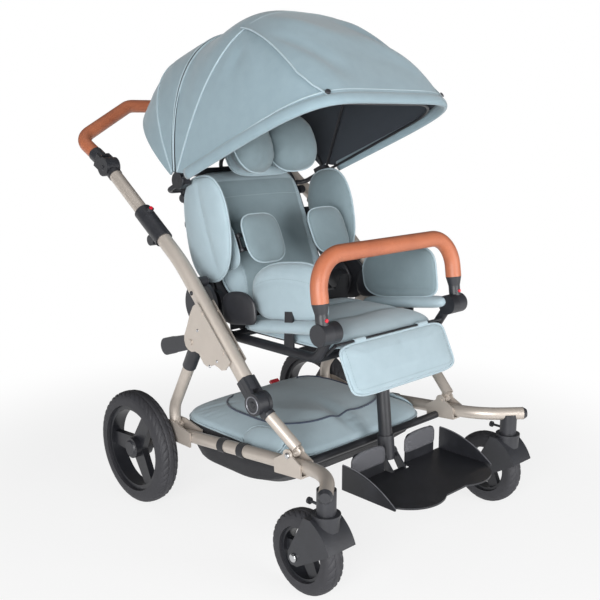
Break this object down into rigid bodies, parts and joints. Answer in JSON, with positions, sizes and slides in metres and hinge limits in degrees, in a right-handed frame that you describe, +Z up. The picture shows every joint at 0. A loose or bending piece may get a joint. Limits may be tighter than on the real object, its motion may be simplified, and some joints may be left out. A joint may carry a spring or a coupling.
{
  "type": "special needs buggy",
  "caption": "Folding special needs buggy: tilting padded seat with canopy, bumper bar and footplate on a wheeled tube frame with a covered basket.",
  "frame": {"origin": "centre of the overall box at floor level", "axes": "+Z up, the child faces -Y, +X is the child's left"},
  "size_m": [0.716, 1.077, 1.1854],
  "materials": {
    "frame_tube": "satin champagne-silver paint",
    "black_plastic": "fine moulded grain",
    "black_metal": "satin black powder coat",
    "basket_cloth": "plain black woven cloth",
    "tyre": "ribbed rubber",
    "rim": "moulded",
    "light_fabric": "sage blue-grey woven cloth",
    "dark_fabric": "darker knitted cloth",
    "leather": "stitched tan leather",
    "red_plastic": "glossy red"
  },
  "bodies": {
    "chassis": {"side_tube": "frame_tube", "front_bracket": "frame_tube", "caster_housing": "black_plastic", "rear_bracket": "frame_tube", "rear_axle": "black_metal", "cross_bar": "black_metal", "basket_tub": "basket_cloth", "basket_cover": "light_fabric", "basket_strap": "basket_cloth"},
    "rear_wheel_l": {"rear_tyre_l": "tyre", "rear_rim_l": "rim", "hub_cap_l": "black_plastic"},
    "caster_l": {"caster_fork_l": "black_plastic"},
    "caster_wheel_l": {"caster_tyre_l": "tyre", "caster_rim_l": "rim"},
    "swivel_lock_l": {"swivel_lock_l": "black_plastic"},
    "rail_button_l": {"rail_button_l": "red_plastic"},
    "trunk_l": {"trunk_pad_l": "dark_fabric"},
    "bar_button_l": {"bar_button_l": "red_plastic"},
    "rear_wheel_r": {"rear_tyre_r": "tyre", "rear_rim_r": "rim", "hub_cap_r": "black_plastic"},
    "caster_r": {"caster_fork_r": "black_plastic"},
    "caster_wheel_r": {"caster_tyre_r": "tyre", "caster_rim_r": "rim"},
    "swivel_lock_r": {"swivel_lock_r": "black_plastic"},
    "rail_button_r": {"rail_button_r": "red_plastic"},
    "trunk_r": {"trunk_pad_r": "dark_fabric"},
    "bar_button_r": {"bar_button_r": "red_plastic"},
    "brake": {"brake_pedal": "red_plastic"},
    "strut": {"strut": "frame_tube", "hinge_lower": "black_plastic"},
    "rail": {"rail": "frame_tube", "hinge_upper": "black_plastic", "rail_plate": "frame_tube", "seat_mount": "black_plastic", "rail_clamp": "black_plastic"},
    "leg": {"rear_leg": "frame_tube", "leg_sleeve": "black_plastic"},
    "upper": {"upper_rail": "frame_tube", "handle_hub": "black_plastic"},
    "handle": {"handle_collar": "black_plastic", "handle_grip": "leather"},
    "seat": {"seat_frame": "black_metal", "seat_cushion": "light_fabric", "thigh_pad": "light_fabric", "foot_post": "black_metal"},
    "back": {"back_frame": "black_metal", "back_cushion": "dark_fabric", "back_wing": "light_fabric", "canopy_clamp": "black_plastic"},
    "headrest": {"headrest_post": "black_metal", "headrest_cushion": "dark_fabric"},
    "canopy": {"canopy_bow": "black_metal", "canopy_shell": "light_fabric"},
    "bar": {"bar_post": "black_plastic", "bar_grip": "leather"},
    "flap": {"legrest_flap": "light_fabric"},
    "foot": {"foot_sleeve": "black_plastic"},
    "footplate": {"footplate": "black_metal"}
  },
  "joints": [
    {"name": "rear_wheel_l_spin", "type": "hinge", "parent": "chassis", "child": "rear_wheel_l", "pos_m": [0.3115, 0.2175, 0.1415], "axis": [1, 0, 0], "continuous": true},
    {"name": "caster_l_swivel", "type": "hinge", "parent": "chassis", "child": "caster_l", "pos_m": [0.318, -0.4445, 0.2], "axis": [0, 0, 1], "continuous": true},
    {"name": "caster_wheel_l_spin", "type": "hinge", "parent": "caster_l", "child": "caster_wheel_l", "pos_m": [0.318, -0.3915, 0.089], "axis": [1, 0, 0], "continuous": true},
    {"name": "swivel_lock_l_pull", "type": "slide", "parent": "chassis", "child": "swivel_lock_l", "axis": [0, 1, 0], "range_m": [0, 0.006]},
    {"name": "rear_wheel_r_spin", "type": "hinge", "parent": "chassis", "child": "rear_wheel_r", "pos_m": [-0.3115, 0.2175, 0.1415], "axis": [1, 0, 0], "continuous": true},
    {"name": "caster_r_swivel", "type": "hinge", "parent": "chassis", "child": "caster_r", "pos_m": [-0.318, -0.4445, 0.2], "axis": [0, 0, 1], "continuous": true},
    {"name": "caster_wheel_r_spin", "type": "hinge", "parent": "caster_r", "child": "caster_wheel_r", "pos_m": [-0.318, -0.3915, 0.089], "axis": [1, 0, 0], "continuous": true},
    {"name": "swivel_lock_r_pull", "type": "slide", "parent": "chassis", "child": "swivel_lock_r", "axis": [0, 1, 0], "range_m": [0, 0.006]},
    {"name": "brake_press", "type": "hinge", "parent": "chassis", "child": "brake", "pos_m": [0.198, 0.2175, 0.1415], "axis": [1, 0, 0], "range_deg": [-25, 0]},
    {"name": "frame_fold", "type": "hinge", "parent": "chassis", "child": "strut", "pos_m": [0, -0.2955, 0.25558], "axis": [1, 0, 0], "range_deg": [0, 60]},
    {"name": "rail_fold", "type": "hinge", "parent": "strut", "child": "rail", "pos_m": [0, -0.2095, 0.35], "axis": [1, 0, 0], "range_deg": [-92.18, 0]},
    {"name": "leg_fold", "type": "hinge", "parent": "chassis", "child": "leg", "pos_m": [0, 0.1275, 0.207], "axis": [1, 0, 0], "range_deg": [0, 29.69]},
    {"name": "rail_button_l_press", "type": "slide", "parent": "rail", "child": "rail_button_l", "axis": [0, -0.578, 0.816], "range_m": [-0.0015, 0], "stiffness_N_per_m": 800},
    {"name": "rail_button_r_press", "type": "slide", "parent": "rail", "child": "rail_button_r", "axis": [0, -0.578, 0.816], "range_m": [-0.0015, 0], "stiffness_N_per_m": 800},
    {"name": "rail_extend", "type": "slide", "parent": "rail", "child": "upper", "axis": [0, 0.816, 0.578], "range_m": [0, 0.06]},
    {"name": "handle_pivot", "type": "hinge", "parent": "upper", "child": "handle", "pos_m": [0, 0.3435, 0.828], "axis": [1, 0, 0], "range_deg": [-60, 5]},
    {"name": "seat_tilt", "type": "hinge", "parent": "rail", "child": "seat", "pos_m": [0, 0.0255, 0.525], "axis": [1, 0, 0], "range_deg": [-8, 0]},
    {"name": "back_recline", "type": "hinge", "parent": "seat", "child": "back", "pos_m": [0, 0.0175, 0.49], "axis": [1, 0, 0], "range_deg": [-10, 0]},
    {"name": "trunk_l_swing", "type": "hinge", "parent": "back", "child": "trunk_l", "pos_m": [0.165, -0.01229, 0.6634], "axis": [0, 0.4179, 0.9085], "range_deg": [0, 40]},
    {"name": "trunk_r_swing", "type": "hinge", "parent": "back", "child": "trunk_r", "pos_m": [-0.165, -0.01229, 0.6634], "axis": [0, 0.4179, 0.9085], "range_deg": [-40, 0]},
    {"name": "headrest_height", "type": "slide", "parent": "back", "child": "headrest", "axis": [0, 0.4179, 0.9085], "range_m": [0, 0.05]},
    {"name": "canopy_swing", "type": "hinge", "parent": "back", "child": "canopy", "pos_m": [0, 0.1155, 0.803], "axis": [1, 0, 0], "range_deg": [0, 10]},
    {"name": "bar_swing", "type": "hinge", "parent": "seat", "child": "bar", "pos_m": [0, -0.3415, 0.514], "axis": [1, 0, 0], "range_deg": [-8, 70]},
    {"name": "bar_button_l_press", "type": "slide", "parent": "bar", "child": "bar_button_l", "axis": [0, 1, 0], "range_m": [0, 0.0015], "stiffness_N_per_m": 800},
    {"name": "bar_button_r_press", "type": "slide", "parent": "bar", "child": "bar_button_r", "axis": [0, 1, 0], "range_m": [0, 0.0015], "stiffness_N_per_m": 800},
    {"name": "flap_raise", "type": "hinge", "parent": "seat", "child": "flap", "pos_m": [0, -0.3335, 0.481], "axis": [1, 0, 0], "range_deg": [-60, 0]},
    {"name": "foot_height", "type": "slide", "parent": "seat", "child": "foot", "axis": [0, 0.1072, 0.9942], "range_m": [0, 0.09]},
    {"name": "footplate_angle", "type": "hinge", "parent": "foot", "child": "footplate", "pos_m": [0, -0.3585, 0.156], "axis": [1, 0, 0], "range_deg": [-20, 15]}
  ],
  "couplings": [
    {"joint": "rail_fold", "follows": "frame_fold", "ratio": -1.5362},
    {"joint": "leg_fold", "follows": "frame_fold", "ratio": 0.4947}
  ]
}
